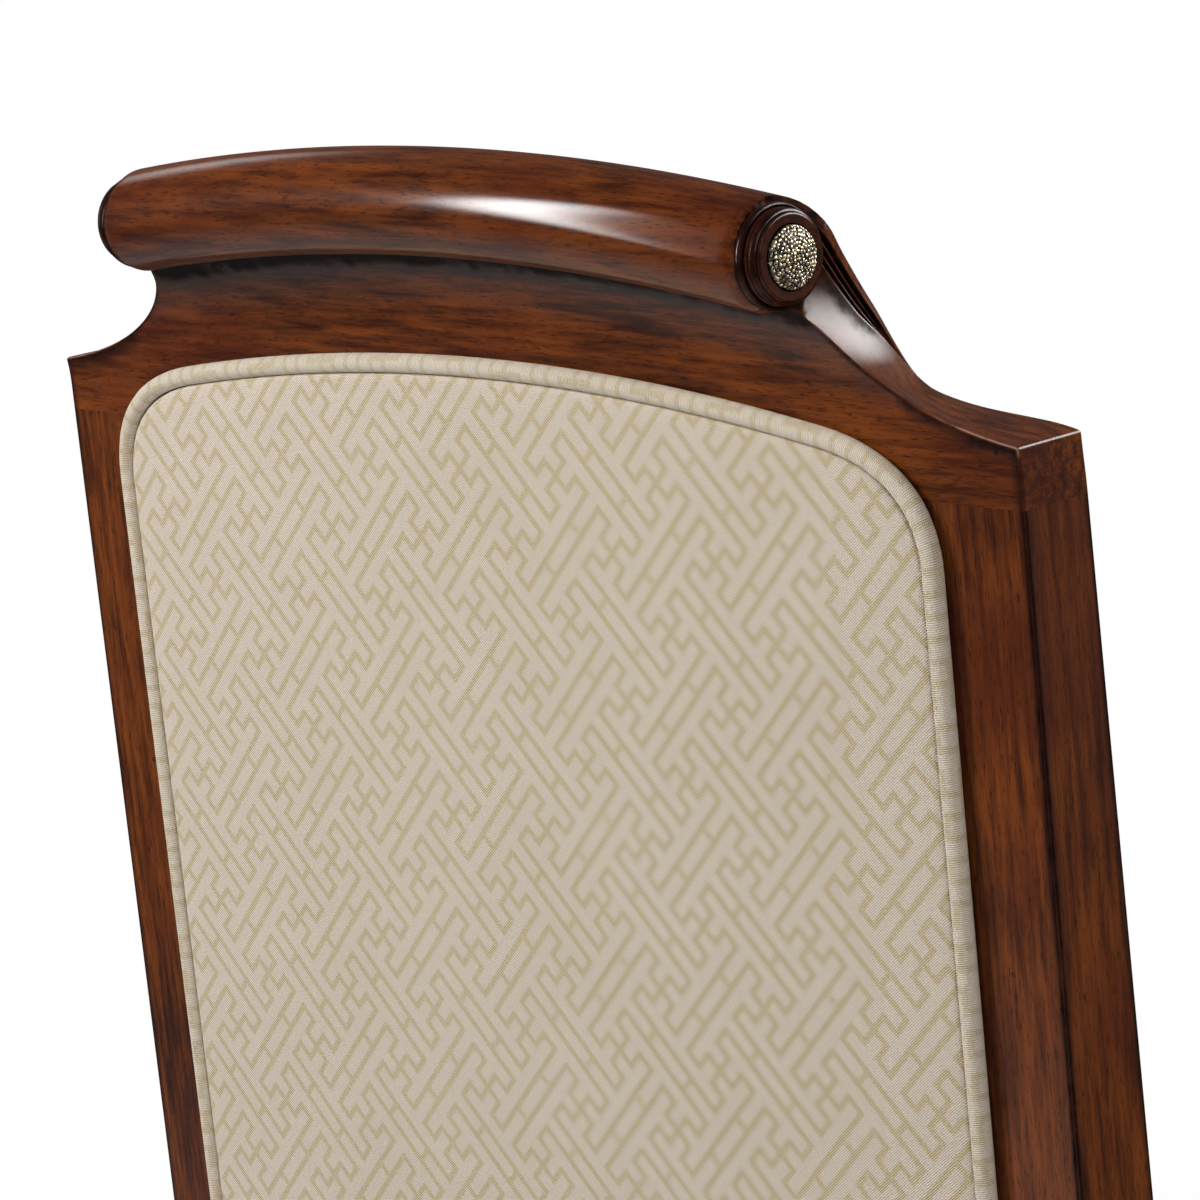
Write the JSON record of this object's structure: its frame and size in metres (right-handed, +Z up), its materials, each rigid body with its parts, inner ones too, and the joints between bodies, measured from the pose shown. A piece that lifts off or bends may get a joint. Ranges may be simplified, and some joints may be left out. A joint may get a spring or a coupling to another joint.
{
  "type": "side chair",
  "caption": "Mahogany side chair with a scrolled barrel crest rail, cove-cut ears, brass rosettes, turned front legs and a welted upholstered back and seat.",
  "frame": {"origin": "centre of the footprint's bounding box, on the floor under the glides", "axes": "+Z up, -Y towards the front of the chair (the way the sitter faces), +X to the right as seen from behind; the crest rail's roll and the outside back panel face +Y"},
  "size_m": [0.532, 0.5836, 1.031],
  "materials": {
    "mahogany": "satin lacquer over a reddish brown stain",
    "beech": "bare",
    "ply": "bare plywood",
    "cloth": "woven key fret, olive gold on pale beige",
    "foam": "cut foam and wadding",
    "brass": "antique",
    "steel": "zinc plated",
    "black_cloth": "black lining cloth"
  },
  "bodies": {
    "root": {"crest_rail": "mahogany", "rosette_left": "brass", "rosette_right": "brass", "crest_dowels": "beech", "back_leg_left": "mahogany", "back_leg_right": "mahogany", "lower_back_rail": "mahogany", "lower_rail_dowels": "beech", "outside_back_board": "ply", "outside_back_wadding": "foam", "outside_back_cover": "cloth", "outside_back_welt": "cloth", "inside_back_board": "ply", "inside_back_screws": "steel", "inside_back_foam": "foam", "inside_back_cover": "cloth", "inside_back_welt": "cloth", "front_leg_left": "mahogany", "front_leg_right": "mahogany", "front_seat_rail": "mahogany", "back_seat_rail": "mahogany", "side_seat_rail_left": "mahogany", "side_seat_rail_right": "mahogany", "corner_block_front_left": "beech", "corner_block_front_right": "beech", "corner_block_back_left": "beech", "corner_block_back_right": "beech", "corner_block_screws": "steel", "seat_board": "ply", "seat_board_screws": "steel", "seat_foam": "foam", "seat_cover": "cloth", "seat_welt": "cloth", "dust_cover": "black_cloth", "glides": "steel"}
  },
  "joints": []
}
